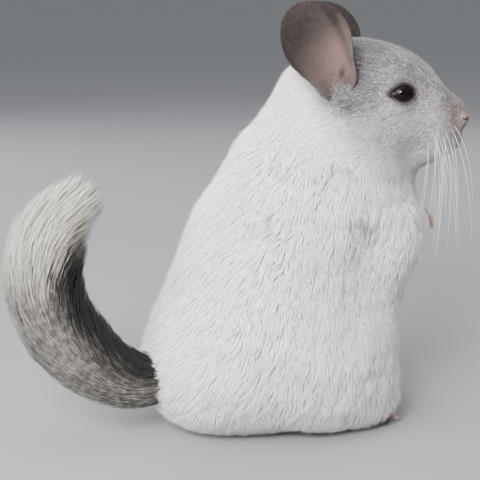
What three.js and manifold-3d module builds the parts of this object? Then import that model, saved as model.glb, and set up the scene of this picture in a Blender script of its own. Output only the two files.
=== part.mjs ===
// A life-size chinchilla that sits up on its haunches with its forefeet held to its chest.
// The head is turned to its right and the brush of the tail sweeps back and up.
// Millimetres, +Z up. The animal faces -Y, its left side is +X, and it sits on Z = 0.
// The outlines are those of the coat: short plush fur on the body, long locks on the tail.
import * as THREE from "three";
import { mergeVertices } from "three/addons/utils/BufferGeometryUtils.js";
import Module from "manifold-3d";

const wasm = await Module();
wasm.setup();

// Driving dimensions

const GAP = 0.3; // between neighbouring pieces
const HEAD_LENGTH = 80; // nape to nose, over the fur
const EAR_LENGTH = 49;
const EAR_WIDTH = 38.5;
const EYE_RADIUS = 6.1;
const EAR_THICKNESS = 1.8;
const TAIL_BUSH = [12, 19]; // middle of the tail to the lock tips, at its root and beyond
const TAIL_CORE = [7, 9, 4]; // radius of the core at its root, middle and tip
const TAIL_CORE_END = 0.8; // of the tail's length, beyond which there is only hair
const TAIL_LOCKS = 52;
const LOCK_LENGTH = 40;
const LOCK_WIDTH = 14;
const LOCK_THICKNESS = 3;
const FOOT_LENGTH = 50;
const FOOT_REACH = 57; // how far the toes stand in front of the hips
const HAND_LENGTH = 19;

const BODY_CELL = 7.8; // mesh size on the body
const HEAD_CELL = 4.9; // and on the head

const HEAD_AT = new THREE.Vector3(-6, -52, 163); // middle of the skull
const HEAD_YAW = 33; // degrees that the face is turned to the animal's right
const HEAD_PITCH = 4; // degrees that the nose points down

const coat = new THREE.MeshStandardMaterial({ color: 0xe4e1dc, roughness: 0.95, metalness: 0 });
const faceCoat = new THREE.MeshStandardMaterial({ color: 0xc9c7c4, roughness: 0.95, metalness: 0 });
const earSkin = new THREE.MeshStandardMaterial({ color: 0x7b6a66, roughness: 0.7, metalness: 0 });
const pawSkin = new THREE.MeshStandardMaterial({ color: 0xcdb3a9, roughness: 0.8, metalness: 0 });
const eyeBlack = new THREE.MeshStandardMaterial({ color: 0x0b0a0c, roughness: 0.08, metalness: 0 });
const tailDark = new THREE.MeshStandardMaterial({ color: 0x55504d, roughness: 0.9, metalness: 0 });
const tailPale = new THREE.MeshStandardMaterial({ color: 0xd9d3c4, roughness: 0.9, metalness: 0 });

// Small helpers

const vec = (x, y, z) => new THREE.Vector3(x, y, z);
const radians = THREE.MathUtils.degToRad;
const mix = THREE.MathUtils.lerp;

// A seeded draw from 0 to 1.
function seededDraw(seed) {
  let state = seed;
  return () => {
    state = (state + 0x6d2b79f5) | 0;
    let t = Math.imul(state ^ (state >>> 15), 1 | state);
    t = (t + Math.imul(t ^ (t >>> 7), 61 | t)) ^ t;
    return ((t ^ (t >>> 14)) >>> 0) / 4294967296;
  };
}

// A closed geometry as a solid that can be joined and cut.
function solid(geometry) {
  const bare = geometry.clone();
  bare.deleteAttribute("normal");
  bare.deleteAttribute("uv");
  const merged = mergeVertices(bare, 1e-4);
  const triVerts = new Uint32Array(merged.index.array);
  const vertProperties = new Float32Array(merged.attributes.position.array);
  return new wasm.Manifold(new wasm.Mesh({ numProp: 3, vertProperties, triVerts }));
}

// The largest closed surface of a solid.
function largest(shape) {
  const bodies = shape.decompose();
  return bodies.reduce((best, body) => (body.volume() > best.volume() ? body : best));
}

// A named mesh of a solid.
function piece(name, shape, material) {
  const mesh = largest(shape).getMesh();
  const geometry = new THREE.BufferGeometry();
  geometry.setAttribute("position", new THREE.BufferAttribute(mesh.vertProperties, 3));
  geometry.setIndex(new THREE.BufferAttribute(mesh.triVerts, 1));
  geometry.computeVertexNormals();
  const made = new THREE.Mesh(geometry, material);
  made.name = name;
  return made;
}

// What lies beyond a plane, on the side its normal points to.
const beyond = (shape, at, normal, by) => shape.trimByPlane(normal.toArray(), at.dot(normal) + by);

// Soft masses: tilted ellipsoids whose distance fields blend into one another

function mass(at, radii, turn = [0, 0, 0], frame = new THREE.Matrix4()) {
  const place = new THREE.Matrix4().compose(
    at,
    new THREE.Quaternion().setFromEuler(new THREE.Euler(...turn.map(radians))),
    vec(1, 1, 1),
  );
  const inward = place.premultiply(frame).clone().invert().elements;
  const [a, b, c] = radii;
  return (x, y, z) => {
    const px = (inward[0] * x + inward[4] * y + inward[8] * z + inward[12]) / a;
    const py = (inward[1] * x + inward[5] * y + inward[9] * z + inward[13]) / b;
    const pz = (inward[2] * x + inward[6] * y + inward[10] * z + inward[14]) / c;
    const level = Math.sqrt(px * px + py * py + pz * pz);
    const slope = Math.sqrt((px / a) ** 2 + (py / b) ** 2 + (pz / c) ** 2);
    return slope > 1e-9 ? (level * (level - 1)) / slope : -Math.min(a, b, c);
  };
}

// Joins fields with a fillet about as wide as reach.
function blended(fields, reach) {
  return (x, y, z) => {
    let d = fields[0](x, y, z);
    for (let i = 1; i < fields.length; i++) {
      const e = fields[i](x, y, z);
      const h = Math.max(reach - Math.abs(d - e), 0) / reach;
      d = Math.min(d, e) - (h * h * reach) / 4;
    }
    return d;
  };
}

// Slides a point down a field's slope onto the surface, by at most reach a step.
function settled(field, p, reach, level = 0) {
  const h = 0.05;
  for (let step = 0; step < 4; step++) {
    const d = field(p.x, p.y, p.z) - level;
    const g = vec(
      field(p.x + h, p.y, p.z) - field(p.x - h, p.y, p.z),
      field(p.x, p.y + h, p.z) - field(p.x, p.y - h, p.z),
      field(p.x, p.y, p.z + h) - field(p.x, p.y, p.z - h),
    ).divideScalar(2 * h);
    p.addScaledVector(g, -THREE.MathUtils.clamp(d / Math.max(g.lengthSq(), 0.2), -reach, reach));
  }
  return p;
}

// The surface where a field is zero, as one closed mesh of even faces (naive surface nets).
// With grow, the same faces stand off it by that much.
function surfaceOf(field, low, high, cell, grow = 0) {
  const size = high.clone().sub(low);
  const count = size.toArray().map((s) => Math.ceil(s / cell) + 1);
  const [nx, ny, nz] = count;
  const index = (i, j, k) => (k * ny + j) * nx + i;
  const value = new Float64Array(nx * ny * nz);
  for (let k = 0; k < nz; k++)
    for (let j = 0; j < ny; j++)
      for (let i = 0; i < nx; i++)
        value[index(i, j, k)] = field(low.x + i * cell, low.y + j * cell, low.z + k * cell);

  const corner = (n) => [n & 1, (n >> 1) & 1, (n >> 2) & 1];
  const edges = [];
  for (let a = 0; a < 8; a++)
    for (const bit of [1, 2, 4]) if (!(a & bit)) edges.push([a, a | bit]);
  const points = [];
  const pointAt = new Int32Array(nx * ny * nz).fill(-1);
  for (let k = 0; k < nz - 1; k++)
    for (let j = 0; j < ny - 1; j++)
      for (let i = 0; i < nx - 1; i++) {
        const middle = vec(0, 0, 0);
        let crossings = 0;
        for (const [a, b] of edges) {
          const [ai, aj, ak] = corner(a);
          const [bi, bj, bk] = corner(b);
          const va = value[index(i + ai, j + aj, k + ak)];
          const vb = value[index(i + bi, j + bj, k + bk)];
          if (va < 0 === vb < 0) continue;
          const t = va / (va - vb);
          middle.add(vec(i + mix(ai, bi, t), j + mix(aj, bj, t), k + mix(ak, bk, t)));
          crossings++;
        }
        if (!crossings) continue;
        pointAt[index(i, j, k)] = points.length;
        middle.multiplyScalar(cell / crossings).add(low);
        settled(field, middle, cell / 2);
        points.push(grow ? settled(field, middle, cell / 2, grow) : middle);
      }

  const faces = [];
  const quad = (a, b, c, d, flip) => {
    const [p, q, r, s] = [a, b, c, d].map((n) => pointAt[n]);
    const short = points[p].distanceTo(points[r]) < points[q].distanceTo(points[s]);
    const made = short ? [[p, q, r], [p, r, s]] : [[q, r, s], [q, s, p]];
    for (const face of made) faces.push(...(flip ? face : face.reverse()));
  };
  for (let k = 1; k < nz - 1; k++)
    for (let j = 1; j < ny - 1; j++)
      for (let i = 1; i < nx - 1; i++) {
        const inside = value[index(i, j, k)] < 0;
        const around = (step, u, v) => {
          if (value[index(i, j, k) + step] < 0 === inside) return;
          const at = index(i, j, k);
          quad(at, at - u, at - u - v, at - v, inside);
        };
        around(1, nx, nx * ny);
        around(nx, nx * ny, 1);
        around(nx * ny, 1, nx);
      }
  const geometry = new THREE.BufferGeometry();
  const flat = points.flatMap((p) => p.toArray());
  geometry.setAttribute("position", new THREE.Float32BufferAttribute(flat, 3));
  geometry.setIndex(faces);
  return geometry;
}

// Lofts: rings of an oval section, closed by a cap at the root and a point at the tip

function loft(rings, sides) {
  const points = [rings[0].at];
  for (const { at, across, through, wide, thick } of rings)
    for (let s = 0; s < sides; s++) {
      const turn = (2 * Math.PI * (s + 0.5)) / sides;
      const p = at.clone().addScaledVector(across, wide * Math.cos(turn));
      points.push(p.addScaledVector(through, thick * Math.sin(turn)));
    }
  const last = rings[rings.length - 1];
  points.push(last.tip ?? last.at);
  const faces = [];
  const ringPoint = (r, s) => 1 + r * sides + (s % sides);
  for (let s = 0; s < sides; s++) {
    faces.push(0, ringPoint(0, s + 1), ringPoint(0, s));
    for (let r = 0; r + 1 < rings.length; r++) {
      const [a, b] = [ringPoint(r, s), ringPoint(r, s + 1)];
      const [c, d] = [ringPoint(r + 1, s), ringPoint(r + 1, s + 1)];
      faces.push(a, b, d, a, d, c);
    }
    faces.push(points.length - 1, ringPoint(rings.length - 1, s), ringPoint(rings.length - 1, s + 1));
  }
  const geometry = new THREE.BufferGeometry();
  geometry.setAttribute(
    "position",
    new THREE.Float32BufferAttribute(points.flatMap((p) => p.toArray()), 3),
  );
  geometry.setIndex(faces);
  return geometry;
}

// A round limb along a curve, with its radius as a function of the way along.
function limb(path, radius, steps, sides, flatness = 1) {
  const curve = new THREE.CatmullRomCurve3(path);
  const rings = [];
  let across = vec(1, 0, 0);
  for (let i = 0; i <= steps; i++) {
    const t = i / steps;
    const along = curve.getTangentAt(t);
    const through = along.clone().cross(across).normalize();
    across = through.clone().cross(along).normalize();
    const wide = radius(t);
    rings.push({ at: curve.getPointAt(t), across, through, wide, thick: wide * flatness });
  }
  const end = rings[rings.length - 1];
  end.tip = end.at.clone().addScaledVector(curve.getTangentAt(1), end.wide * 0.6);
  return solid(loft(rings, sides));
}

// An ellipsoid as a solid.
function oval(at, radii, turn = [0, 0, 0], across = 24, up = 16) {
  const geometry = new THREE.SphereGeometry(1, across, up);
  geometry.scale(...radii);
  const spin = new THREE.Quaternion().setFromEuler(new THREE.Euler(...turn.map(radians)));
  geometry.applyQuaternion(spin).translate(at.x, at.y, at.z);
  return solid(geometry);
}

// The head's own frame: x forward to the nose, y to the animal's left, z up

const headFrame = new THREE.Matrix4()
  .makeTranslation(HEAD_AT)
  .multiply(new THREE.Matrix4().makeRotationZ(radians(-90 - HEAD_YAW)))
  .multiply(new THREE.Matrix4().makeRotationY(radians(HEAD_PITCH)));
const onHead = (x, y, z) => vec(x, y, z).applyMatrix4(headFrame);
const headWay = (x, y, z) => vec(x, y, z).transformDirection(headFrame);
const headMass = (at, radii, turn) => mass(vec(...at), radii, turn, headFrame);
const NOSE = HEAD_LENGTH * 0.62; // skull's middle to the tip of the nose
const SIDES = { right: -1, left: 1 };
const bothSides = (make) => [make(SIDES.right), make(SIDES.left)];

// The masses of the body

const trunkField = blended(
  [
    mass(vec(0, 7, 41), [54, 54, 46]), // rump
    mass(vec(0, 41, 28), [30, 23, 23]), // root of the tail
    mass(vec(0, -5, 82), [48, 50, 58], [20, 0, 0]), // barrel
    mass(vec(0, -40, 110), [40, 38, 40], [20, 0, 0]), // chest
    mass(vec(0, -23, 129), [34, 37, 32], [24, 0, 0]), // withers
    mass(vec(0, -46, 64), [34, 24, 34]), // belly
  ],
  22,
);
const legField = blended(
  [
    ...bothSides((side) => mass(vec(side * 34, -20, 36), [23, 36, 35], [0, 0, side * -12])), // thighs
    ...bothSides((side) => mass(vec(side * 33, -39, 18), [14, 15, 16])), // knees over the feet
    ...bothSides((side) => mass(vec(side * 30, -50, 92), [15, 18, 24], [24, 0, 0])), // upper arms
    ...bothSides((side) => mass(vec(side * 21, -68, 95), [8, 14, 9], [-38, 0, 0])), // forearms
  ],
  12,
);
const neckField = mass(vec(-3, -35, 154), [27, 35, 32], [30, 0, 0]);
const headField = blended(
  [
    headMass([-6, 0, 3], [26, 24, 25]), // skull
    headMass([12, 0, 4], [24, 20, 20], [0, 18, 0]), // forehead
    headMass([29, 0, -8], [19, 13, 15], [0, 14, 0]), // muzzle
    headMass([NOSE - 8, 0, -7], [8, 6, 7]), // nose
    ...bothSides((side) => headMass([6, side * 11, -12], [21, 15, 19])), // cheeks
    ...bothSides((side) => headMass([35, side * 6, -16], [10, 8, 9])), // whisker pads
    headMass([27, 0, -24], [13, 10, 8]), // chin
  ],
  9,
);
const bodyField = blended([trunkField, neckField, legField, headField], 11);

const BODY_LOW = vec(-76, -112, -14.5);
const BODY_HIGH = vec(76, 76, 204);
const body = solid(surfaceOf(bodyField, BODY_LOW, BODY_HIGH, BODY_CELL));
const bodyGrown = solid(surfaceOf(bodyField, BODY_LOW, BODY_HIGH, BODY_CELL, GAP * 1.3));

// Seams between head, neck and torso

const NECK_TOP = { at: onHead(-9, 0, -9), normal: headWay(0.7, 0, 0.7) };
const NECK_BASE = { at: vec(-1, -36, 133), normal: vec(-0.05, -0.35, 0.93).normalize() };

const fineBody = solid(surfaceOf(bodyField, BODY_LOW, BODY_HIGH, HEAD_CELL));
const fineGrown = solid(surfaceOf(bodyField, BODY_LOW, BODY_HIGH, HEAD_CELL, GAP * 1.3));
let head = beyond(fineBody, NECK_TOP.at, NECK_TOP.normal, GAP / 2);

const notHead = beyond(body, NECK_TOP.at, NECK_TOP.normal.clone().negate(), GAP / 2);
const neck = beyond(notHead, NECK_BASE.at, NECK_BASE.normal, GAP / 2);
let torso = beyond(notHead, NECK_BASE.at, NECK_BASE.normal.clone().negate(), GAP / 2);

// The legs are parted from the torso by rounded cuts

const group = new THREE.Group();
const UP = vec(0, 0, 1);
const FLOOR = vec(0, 0, 0);

for (const [name, side] of Object.entries(SIDES)) {
  const thighCut = (grow) =>
    oval(vec(side * 44, -22, 30), [29 + grow, 42 + grow, 42 + grow], [0, 0, side * -12], 16, 10);
  const armCut = (grow) =>
    oval(vec(side * 33, -60, 93), [17 + grow, 26 + grow, 27 + grow], [24, 0, 0], 16, 10);
  const thigh = beyond(torso.intersect(thighCut(-GAP)), FLOOR, UP, 0);
  const arm = torso.intersect(armCut(-GAP)).subtract(thighCut(0));
  torso = torso.subtract(thighCut(0)).subtract(armCut(0));
  group.add(piece("foreleg_" + name, arm, coat));

  // The hind foot lies flat under the body, and its four toes show.
  const heel = vec(side * 29, -FOOT_REACH + FOOT_LENGTH, 5.5);
  const ball = vec(side * 31, -FOOT_REACH + 14, 4.6);
  const footOf = (grow) => {
    const sole = [heel, heel.clone().lerp(ball, 0.5), ball];
    let foot = limb(sole, (t) => mix(6.5, 6, t) + grow, 3, 8, 0.85);
    for (let toe = 0; toe < 4; toe++) {
      const spread = toe - 1.5;
      const reach = 13.5 - Math.abs(spread) * 1.2;
      const path = [
        ball.clone().add(vec(spread * 2.6, 3, -0.5)),
        ball.clone().add(vec(spread * 3.4, -reach * 0.5, 1)),
        ball.clone().add(vec(spread * 4, -reach, -2.2)),
      ];
      foot = foot.add(limb(path, (t) => mix(2.5, 1.5, t) + grow, 3, 6));
    }
    return foot;
  };
  group.add(piece("hind_foot_" + name, beyond(footOf(0), FLOOR, UP, 0), pawSkin));
  const footSlot = footOf(GAP * 1.2);
  torso = torso.subtract(footSlot);
  group.add(piece("hind_leg_" + name, thigh.subtract(footSlot), coat));

  // The hand is held to the chest, with four fingers that hang down.
  const wrist = vec(side * 17, -72, 101);
  const palm = vec(side * 12.5, -78, 103);
  let hand = limb([wrist, palm, palm.clone().add(vec(-side * 1.5, -4, -1.5))], () => 4.2, 3, 9, 0.8);
  for (let finger = 0; finger < 4; finger++) {
    const spread = finger - 1.5;
    const path = [
      palm.clone().add(vec(spread * 1.7, -2.5, -0.5)),
      palm.clone().add(vec(spread * 2.1, -HAND_LENGTH * 0.36, -2)),
      palm.clone().add(vec(spread * 2.3, -HAND_LENGTH * 0.42, -HAND_LENGTH * 0.4)),
    ];
    hand = hand.add(limb(path, (t) => mix(1.5, 0.9, t), 3, 6));
  }
  group.add(piece("forefoot_" + name, hand.subtract(bodyGrown), pawSkin));
}

// Eyes in lidded sockets

for (const [name, side] of Object.entries(SIDES)) {
  const outward = vec(0.3, side * 0.94, 0.16).normalize();
  const at = vec(16, side * 18.6, 4);
  const eye = oval(at, [EYE_RADIUS, EYE_RADIUS, EYE_RADIUS * 0.94], [0, 0, 0], 16, 10);
  const hole = [EYE_RADIUS + GAP, EYE_RADIUS + GAP, EYE_RADIUS * 0.94 + GAP];
  const socket = oval(at, hole, [0, 0, 0], 16, 10);
  const place = new THREE.Matrix4().makeTranslation(at.clone().addScaledVector(outward, 3.1));
  const facing = new THREE.Quaternion().setFromUnitVectors(vec(0, 0, 1), outward);
  const lidRing = new THREE.TorusGeometry(EYE_RADIUS - 0.4, 1.5, 6, 20);
  lidRing.scale(1, 1, 0.9).applyQuaternion(facing).applyMatrix4(place);
  head = head
    .add(solid(lidRing.applyMatrix4(headFrame)))
    .subtract(socket.transform(headFrame.toArray()));
  group.add(piece("eye_" + name, eye.transform(headFrame.toArray()), eyeBlack));
}

// Nostrils and the line of the mouth

for (const side of [SIDES.right, SIDES.left]) {
  const nostril = oval(vec(NOSE - 1.2, side * 3.2, -7), [2.6, 1.1, 1.5], [0, 20, side * 30], 10, 8);
  head = head.subtract(nostril.transform(headFrame.toArray()));
}

// The lips are two soft rolls round the muzzle, with the line of the mouth between them.
const lipPath = (lift, out) =>
  [-1, -0.66, -0.33, 0, 0.33, 0.66, 1].map((s) => {
    const at = onHead(47 - 11 * s * s, 9.5 * s, -17.5 - 3 * s * s + lift);
    return settled(bodyField, at, 4, out);
  });
for (const lift of [2, -2])
  head = head.add(limb(lipPath(lift, -0.6), (t) => 0.6 + 1.1 * Math.sin(Math.PI * t), 10, 5));
head = head.subtract(limb(lipPath(0, 0.4), () => 1, 10, 5));

// Ears

const smooth = THREE.MathUtils.smoothstep;

// A cupped shell as a flattened ball, bent across by its curl and rolled in at its front rim.
// In its own frame y goes up the ear, x to the front rim and z out of the cup.
function earShell() {
  const geometry = new THREE.SphereGeometry(1, 26, 10);
  geometry.rotateX(Math.PI / 2);
  const place = geometry.attributes.position;
  for (let n = 0; n < place.count; n++) {
    const [u, v, w] = [place.getX(n), place.getY(n), place.getZ(n)];
    const half = (EAR_WIDTH / 2) * mix(0.86, 1.06, smooth(v, -1, 0.25));
    const curl = radians(mix(100, 44, smooth(v, -1, 0.4)));
    const roll = radians(mix(150, 60, smooth(v, -0.6, 0.9)));
    let [x, z, turn] = [0, 0, 0];
    const steps = 12;
    for (let i = 0; i < steps; i++) {
      const a = (u * (i + 0.5)) / steps;
      turn = curl * a + roll * Math.max(a - 0.55, 0);
      x += (Math.cos(turn) * half * u) / steps;
      z += (Math.sin(turn) * half * u) / steps;
    }
    const thick = (w * EAR_THICKNESS) / 2;
    const up = (v + 1) / 2;
    const lean = 5 * up * up;
    place.setXYZ(n, x - Math.sin(turn) * thick, up * EAR_LENGTH, z + Math.cos(turn) * thick - lean);
  }
  return solid(geometry);
}

const EARS = {
  right: { root: [-12, -30, 0.5], up: [-22, -8, 40], cup: [0.35, -0.9, 0.1] },
  left: { root: [-12, 24, 0.5], up: [-19, 16, 36], cup: [0.5, 0.85, 0.1] },
};
for (const [name, { root, up, cup }] of Object.entries(EARS)) {
  const y = vec(...up).normalize();
  const z = vec(...cup).projectOnPlane(y).normalize();
  const x = y.clone().cross(z).multiplyScalar(-SIDES[name]);
  const place = new THREE.Matrix4().makeBasis(x, y, z).setPosition(vec(...root)).premultiply(headFrame);
  const ear = earShell().transform(place.toArray()).subtract(fineGrown);
  group.add(piece("ear_" + name, ear, earSkin));
}

// The tail sweeps back over the floor, then up and forward, and its long hair ends in a soft brush.

const tailPath = new THREE.CatmullRomCurve3([
  vec(0, 44, 33),
  vec(0, 62, 28),
  vec(0, 83, 34),
  vec(1, 100, 48),
  vec(2, 112, 66),
  vec(3, 116, 87),
  vec(4, 109, 108),
  vec(4, 93, 123),
]);
const TAIL_LENGTH = tailPath.getLength();

// A place along the tail, also past its end, with the way along it and one of its sides.
function onTail(t, angle = 0) {
  const on = Math.min(t, 1);
  const along = tailPath.getTangentAt(on);
  const at = tailPath.getPointAt(on).addScaledVector(along, (t - on) * TAIL_LENGTH);
  const through = along.clone().cross(vec(1, 0, 0)).normalize();
  const across = through.clone().cross(along);
  const outward = across.multiplyScalar(Math.cos(angle)).addScaledVector(through, Math.sin(angle));
  return { at, along, outward };
}

const coreRadius = (t) => {
  const [root, middle, tip] = TAIL_CORE;
  return t < 0.5 ? mix(root, middle, t * 2) : mix(middle, tip, (t - 0.5) / (TAIL_CORE_END - 0.5));
};
const bushRadius = (t) => mix(...TAIL_BUSH, smooth(t, 0.05, 0.5)) * (1 - 0.55 * smooth(t, 0.8, 1.12));

function tailLock(root, angle, draw) {
  const length = (LOCK_LENGTH * mix(0.85, 1.15, draw())) / TAIL_LENGTH;
  const drift = mix(-0.35, 0.35, draw());
  const fullness = mix(0.84, 1, draw());
  const wide = LOCK_WIDTH * mix(0.85, 1.1, draw());
  const rings = [0, 0.4, 0.78, 1].map((s) => {
    const { at, along, outward } = onTail(root + s * length, angle + drift * s);
    const from = coreRadius(Math.min(root, TAIL_CORE_END)) * 0.45;
    const away = mix(from, bushRadius(root + length) * fullness, Math.sin((Math.PI / 2) * s));
    const taper = mix(0.75, 1, Math.min(s * 3, 1)) * Math.sqrt(1 - s * s * 0.94);
    return {
      at: at.addScaledVector(outward, away),
      across: outward.clone().cross(along).normalize(),
      through: outward,
      wide: (wide / 2) * taper,
      thick: (LOCK_THICKNESS / 2) * taper,
    };
  });
  const end = rings.pop();
  rings[rings.length - 1].tip = end.at;
  return solid(loft(rings, 4));
}

const draw = seededDraw(11);
const GOLDEN_ANGLE = Math.PI * (3 - Math.sqrt(5));
const coreEnd = tailPath.getPointAt(TAIL_CORE_END);
const corePoints = [0, 0.12, 0.24, 0.36, 0.48, 0.6, 0.7].map((t) => tailPath.getPointAt(t));
let tail = limb([...corePoints, coreEnd], (t) => coreRadius(t * TAIL_CORE_END), 14, 10);
for (let n = 0; n < TAIL_LOCKS; n++) {
  const root = mix(0.06, TAIL_CORE_END - 0.02, n / (TAIL_LOCKS - 1)) + mix(-0.01, 0.01, draw());
  tail = tail.add(tailLock(root, n * GOLDEN_ANGLE, draw));
}
tail = largest(tail.subtract(bodyGrown));

// Each length of the tail slides into the one before it, along the lie of the locks.
const rise = LOCK_LENGTH / TAIL_LENGTH;
function sleeve(cut, grow) {
  const end = 1.35;
  const path = [0, 1, 2, 3, 4, 5, 6, 7].map((n) => onTail(mix(cut, end, n / 7)).at);
  const opened = (s) => Math.min((s * (end - cut)) / rise, 1);
  const radius = (s) => 1 + (TAIL_BUSH[1] + 6) * Math.sin((Math.PI / 2) * opened(s));
  return limb(path, (s) => radius(s) + grow, 10, 10);
}
const beforeMiddle = [sleeve(0.34, GAP / 2), sleeve(0.34, -GAP / 2)];
const beforeTip = [sleeve(0.62, GAP / 2), sleeve(0.62, -GAP / 2)];
group.add(piece("tail_root", tail.subtract(beforeMiddle[0]), tailDark));
group.add(piece("tail_middle", tail.intersect(beforeMiddle[1]).subtract(beforeTip[0]), tailDark));
group.add(piece("tail_tip", tail.intersect(beforeTip[1]), tailPale));

group.add(piece("head", head, faceCoat));
group.add(piece("neck", neck, coat));
group.add(piece("torso", beyond(torso, FLOOR, UP, 0), coat));

export default group;
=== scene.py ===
"""A life-size chinchilla that sits up on its haunches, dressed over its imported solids.

One skin is made from the solids of the flesh and drawn in by the depth of the coat. The coat
is solid mesh: thin tapered tufts that follow the lie of the fur and end where the solids end.
Lengths below are millimetres, and every mesh is scaled to metres as it is made. The floor and
the lights are in metres.
"""

import math

import bpy
import numpy as np
from mathutils import Matrix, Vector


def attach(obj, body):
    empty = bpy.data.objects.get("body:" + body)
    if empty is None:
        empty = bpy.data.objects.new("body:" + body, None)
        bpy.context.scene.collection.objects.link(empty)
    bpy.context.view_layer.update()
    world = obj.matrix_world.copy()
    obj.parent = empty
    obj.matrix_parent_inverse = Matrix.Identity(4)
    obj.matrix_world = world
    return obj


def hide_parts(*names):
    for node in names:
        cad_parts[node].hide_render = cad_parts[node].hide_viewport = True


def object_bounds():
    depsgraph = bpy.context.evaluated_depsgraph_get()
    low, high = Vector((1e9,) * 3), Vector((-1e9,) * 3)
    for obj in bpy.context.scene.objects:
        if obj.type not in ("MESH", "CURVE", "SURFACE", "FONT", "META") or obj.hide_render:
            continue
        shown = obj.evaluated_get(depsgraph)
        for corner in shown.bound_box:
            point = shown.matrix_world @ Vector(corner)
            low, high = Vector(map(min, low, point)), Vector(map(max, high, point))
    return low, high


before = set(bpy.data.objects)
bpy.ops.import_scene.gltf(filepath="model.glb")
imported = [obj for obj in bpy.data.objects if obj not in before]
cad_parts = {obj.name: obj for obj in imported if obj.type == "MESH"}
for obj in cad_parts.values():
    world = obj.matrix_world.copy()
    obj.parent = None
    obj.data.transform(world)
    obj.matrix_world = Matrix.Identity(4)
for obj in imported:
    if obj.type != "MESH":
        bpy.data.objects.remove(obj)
cad_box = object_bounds()

MM = 0.001
SKIN_VOXEL = 1.15
PAW_VOXEL = 0.55
PIECE_TRIANGLES = 190000
BODY_TUFTS = 100000
EAR_TUFTS = 5200
TAIL_TUFTS = 17000

# The head's own frame: forward to the nose, left of the animal, up
HEAD_AT = np.array([-6.0, -52.0, 163.0])
HEAD_YAW = math.radians(33)
HEAD_PITCH = math.radians(4)
NOSE = 49.6


# Camera


def place_camera():
    """The photograph's view: from behind the animal's right side and a little above."""
    azimuth, elevation, distance = math.radians(245), math.radians(12), 600
    back = np.array(
        [
            math.sin(azimuth) * math.cos(elevation),
            -math.cos(azimuth) * math.cos(elevation),
            math.sin(elevation),
        ]
    )
    right = np.cross(-back, [0, 0, 1])
    right /= np.linalg.norm(right)
    target = right * -15 + np.array([0, 0, 92.5])
    data = bpy.data.cameras.new("camera")
    data.sensor_width = 36
    data.lens = 90
    data.clip_start = 0.01
    camera = bpy.data.objects.new("camera", data)
    bpy.context.scene.collection.objects.link(camera)
    up = np.cross(right, -back)
    camera.matrix_world = matrix_of(right, up, back, (target + back * distance) * MM)
    bpy.context.scene.camera = camera


def matrix_of(x, y, z, at):
    """A Blender matrix from three axes and a place."""
    rows = [[x[i], y[i], z[i], at[i]] for i in range(3)]
    return Matrix(rows + [[0, 0, 0, 1]])


place_camera()


# Shared arithmetic


def unit(v):
    """Rows of v at length one."""
    return v / np.maximum(np.linalg.norm(v, axis=-1, keepdims=True), 1e-9)


def smooth(x, low, high):
    """0 at low, 1 at high, with a soft rise between."""
    t = np.clip((x - low) / (high - low), 0, 1)
    return t * t * (3 - 2 * t)


def blend(a, b, t):
    """a where t is 0, b where t is 1."""
    return a + (b - a) * t


def ripple(p, scale, seed, layers=3):
    """A smooth random value from -1 to 1 at each point, with features about scale across."""
    draw = np.random.default_rng(seed)
    total = np.zeros(len(p))
    weight = 0.0
    for layer in range(layers):
        size = scale / 2**layer
        share = 0.6**layer
        for _ in range(5):
            way = unit(draw.normal(size=3)) * 2 * math.pi / size * draw.uniform(0.7, 1.3)
            total += share * np.sin(p @ way + draw.uniform(0, 2 * math.pi))
        weight += share * 2.2
    return np.clip(total / weight, -1, 1)


def gathering(p, normal, scale, seed):
    """Which way along the skin the middle of each lock of fur lies, and where the locks rise."""
    step = 0.2
    here = ripple(p, scale, seed, 2)
    slope = np.zeros_like(p)
    for axis, way in enumerate(np.eye(3)):
        slope[:, axis] = (ripple(p + way * step, scale, seed, 2) - here) / step
    slope -= normal * np.sum(slope * normal, axis=1, keepdims=True)
    return slope * scale / 6, here


def turned(angle):
    """A turn about the upright axis."""
    c, s = math.cos(angle), math.sin(angle)
    return np.array([[c, -s, 0], [s, c, 0], [0, 0, 1]])


def head_axes():
    """The head's forward, left and up axes as columns."""
    c, s = math.cos(HEAD_PITCH), math.sin(HEAD_PITCH)
    pitch = np.array([[c, 0, s], [0, 1, 0], [-s, 0, c]])
    return turned(-math.pi / 2 - HEAD_YAW) @ pitch


HEAD_AXES = head_axes()


def on_head(points):
    """Points given in the head's frame, as points of the model."""
    return np.asarray(points, float) @ HEAD_AXES.T + HEAD_AT


def in_head(points):
    """Points of the model, in the head's frame."""
    return (points - HEAD_AT) @ HEAD_AXES


# Meshes as arrays


def mesh_piece(name, points, faces):
    """A smooth mesh object from points in millimetres and faces of one size."""
    data = bpy.data.meshes.new(name)
    data.vertices.add(len(points))
    data.vertices.foreach_set("co", (points * MM).astype(np.float32).ravel())
    data.loops.add(faces.size)
    data.loops.foreach_set("vertex_index", faces.astype(np.int32).ravel())
    data.polygons.add(len(faces))
    starts = np.arange(0, faces.size, faces.shape[1], dtype=np.int32)
    data.polygons.foreach_set("loop_start", starts)
    data.update(calc_edges=True)
    data.polygons.foreach_set("use_smooth", np.ones(len(faces), bool))
    piece = bpy.data.objects.new(name, data)
    bpy.context.scene.collection.objects.link(piece)
    return piece


def give_marks(piece, marks):
    """Stores the markings and painted shade at each point: ticking, warmth, darkness and the way along a
    hair.
    """
    layer = piece.data.attributes.new("marks", "FLOAT_COLOR", "POINT")
    layer.data.foreach_set("color", marks.astype(np.float32).ravel())


def finished(piece, material, slot, *stands_for):
    """Gives a piece its material, hangs it from the root and hides the CAD nodes it stands for. The slot
    is not used.
    """
    piece.data.materials.append(material)
    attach(piece, "root")
    if stands_for:
        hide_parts(*stands_for)
    return piece


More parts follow.
